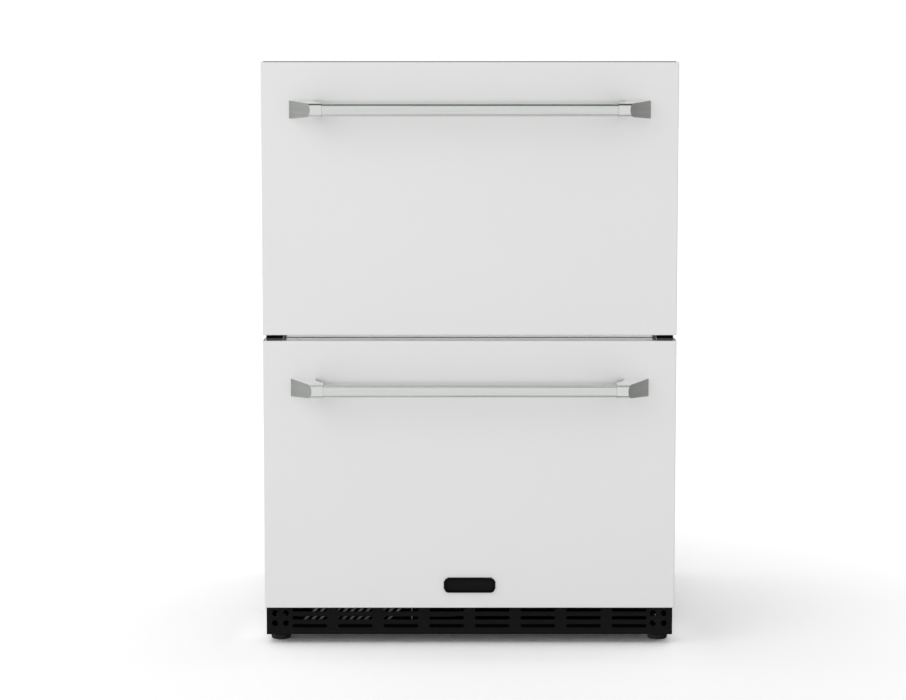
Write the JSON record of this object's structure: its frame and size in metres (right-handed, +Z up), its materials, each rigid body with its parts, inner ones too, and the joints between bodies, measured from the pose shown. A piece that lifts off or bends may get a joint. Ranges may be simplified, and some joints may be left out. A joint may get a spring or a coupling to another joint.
{
  "type": "undercounter drawer refrigerator",
  "caption": "Undercounter refrigerator cabinet with two full-width drawers on telescopic ball slides, bar handles, a slotted kick grille and screw feet.",
  "frame": {"origin": "floor level under the middle of the overall box, handles included", "axes": "+X to the right seen from the front, -Y towards the user, +Z up"},
  "size_m": [0.6, 0.655, 0.858],
  "materials": {
    "painted_front": "satin powder coat, very pale grey",
    "casing_steel": "satin coated sheet steel",
    "stainless": "brushed stainless steel",
    "handle_steel": "satin stainless bar",
    "bracket_steel": "cast stainless, its slanted ends brushed lengthwise",
    "black_plastic": "matte black moulding",
    "white_plastic": "smooth white moulded liner",
    "bin_plastic": "pale grey moulded bin",
    "foam": "rigid insulating foam",
    "gasket_rubber": "grey magnetic seal",
    "foot_rubber": "black moulded foot on a steel stem",
    "zinc_steel": "zinc-plated slides",
    "ball_steel": "bright ball bearings",
    "galvanised": "galvanised sheet",
    "pan_black": "black coated steel sheet",
    "aluminium_fins": "thin bright fins",
    "copper": "bare copper tube",
    "compressor_black": "semi-gloss black enamel",
    "motor_grey": "dark grey moulded motor",
    "fan_plastic": "black moulded wheel",
    "fan_white": "white moulded wheel",
    "display_black": "dark display window",
    "button_white": "white keys",
    "lamp_diffuser": "milky lamp lens"
  },
  "bodies": {
    "cabinet": {"outer_casing": "casing_steel", "back_panel": "galvanised", "base_pan": "pan_black", "foam_insulation": "foam", "inner_liner": "white_plastic", "face_frame": "stainless", "centre_rail": "stainless", "gap_end_blocks": "black_plastic", "kick_grille": "black_plastic", "foot_sockets": "zinc_steel", "condenser_fins": "aluminium_fins", "condenser_coil": "copper", "air_partition": "galvanised", "condenser_fan_motor": "motor_grey", "compressor": "compressor_black", "compressor_grommets": "foot_rubber", "relay_cover": "motor_grey", "drain_pan": "black_plastic", "filter_drier": "copper", "refrigerant_lines": "copper", "evaporator_fins": "aluminium_fins", "evaporator_coil": "copper", "evaporator_cover": "white_plastic", "evaporator_fan_motor": "motor_grey", "control_housing": "bin_plastic", "display_window": "display_black", "lamp_lens": "lamp_diffuser", "cord_gland": "black_plastic", "lower_slide_outer": "zinc_steel", "upper_slide_outer": "zinc_steel"},
    "lower_drawer": {"lower_front_skin": "painted_front", "lower_front_liner": "white_plastic", "lower_gasket": "gasket_rubber", "lower_handle_bar": "handle_steel", "lower_handle_brackets": "bracket_steel", "lower_side_arms": "galvanised", "lower_bin": "bin_plastic", "lower_slide_inner": "zinc_steel"},
    "lower_slides": {"lower_slide_middle": "zinc_steel", "lower_slide_balls": "ball_steel"},
    "upper_drawer": {"upper_front_skin": "painted_front", "upper_front_liner": "white_plastic", "upper_gasket": "gasket_rubber", "upper_handle_bar": "handle_steel", "upper_handle_brackets": "bracket_steel", "upper_side_arms": "galvanised", "upper_bin": "bin_plastic", "upper_slide_inner": "zinc_steel"},
    "upper_slides": {"upper_slide_middle": "zinc_steel", "upper_slide_balls": "ball_steel"},
    "condenser_fan": {"condenser_fan_wheel": "fan_plastic"},
    "evaporator_fan": {"evaporator_fan_wheel": "fan_white"},
    "power_key": {"power_button": "button_white"},
    "lamp_key": {"lamp_button": "button_white"},
    "colder_key": {"colder_button": "button_white"},
    "warmer_key": {"warmer_button": "button_white"},
    "front_left_leg": {"front_left_foot": "foot_rubber"},
    "front_right_leg": {"front_right_foot": "foot_rubber"},
    "rear_left_leg": {"rear_left_foot": "foot_rubber"},
    "rear_right_leg": {"rear_right_foot": "foot_rubber"}
  },
  "joints": [
    {"name": "lower_drawer_slide", "type": "slide", "parent": "cabinet", "child": "lower_drawer", "axis": [0, -1, 0], "range_m": [0, 0.43]},
    {"name": "lower_middle_slide", "type": "slide", "parent": "cabinet", "child": "lower_slides", "axis": [0, -1, 0], "range_m": [0, 0.215]},
    {"name": "upper_drawer_slide", "type": "slide", "parent": "cabinet", "child": "upper_drawer", "axis": [0, -1, 0], "range_m": [0, 0.43]},
    {"name": "upper_middle_slide", "type": "slide", "parent": "cabinet", "child": "upper_slides", "axis": [0, -1, 0], "range_m": [0, 0.215]},
    {"name": "condenser_fan_spin", "type": "hinge", "parent": "cabinet", "child": "condenser_fan", "pos_m": [-0.082, 0.21675, 0.1245], "axis": [1, 0, 0], "continuous": true},
    {"name": "evaporator_fan_spin", "type": "hinge", "parent": "cabinet", "child": "evaporator_fan", "pos_m": [0, 0.26125, 0.752], "axis": [0, -1, 0], "continuous": true},
    {"name": "power_press", "type": "slide", "parent": "cabinet", "child": "power_key", "axis": [0, 1, 0], "range_m": [0, 0.001], "stiffness_N_per_m": 800},
    {"name": "lamp_press", "type": "slide", "parent": "cabinet", "child": "lamp_key", "axis": [0, 1, 0], "range_m": [0, 0.001], "stiffness_N_per_m": 800},
    {"name": "colder_press", "type": "slide", "parent": "cabinet", "child": "colder_key", "axis": [0, 1, 0], "range_m": [0, 0.001], "stiffness_N_per_m": 800},
    {"name": "warmer_press", "type": "slide", "parent": "cabinet", "child": "warmer_key", "axis": [0, 1, 0], "range_m": [0, 0.001], "stiffness_N_per_m": 800},
    {"name": "front_left_leg_screw", "type": "slide", "parent": "cabinet", "child": "front_left_leg", "axis": [0, 0, -1], "range_m": [0, 0.02]},
    {"name": "front_right_leg_screw", "type": "slide", "parent": "cabinet", "child": "front_right_leg", "axis": [0, 0, -1], "range_m": [0, 0.02]},
    {"name": "rear_left_leg_screw", "type": "slide", "parent": "cabinet", "child": "rear_left_leg", "axis": [0, 0, -1], "range_m": [0, 0.02]},
    {"name": "rear_right_leg_screw", "type": "slide", "parent": "cabinet", "child": "rear_right_leg", "axis": [0, 0, -1], "range_m": [0, 0.02]}
  ],
  "couplings": [
    {"joint": "lower_middle_slide", "follows": "lower_drawer_slide", "ratio": 0.5},
    {"joint": "upper_middle_slide", "follows": "upper_drawer_slide", "ratio": 0.5}
  ]
}
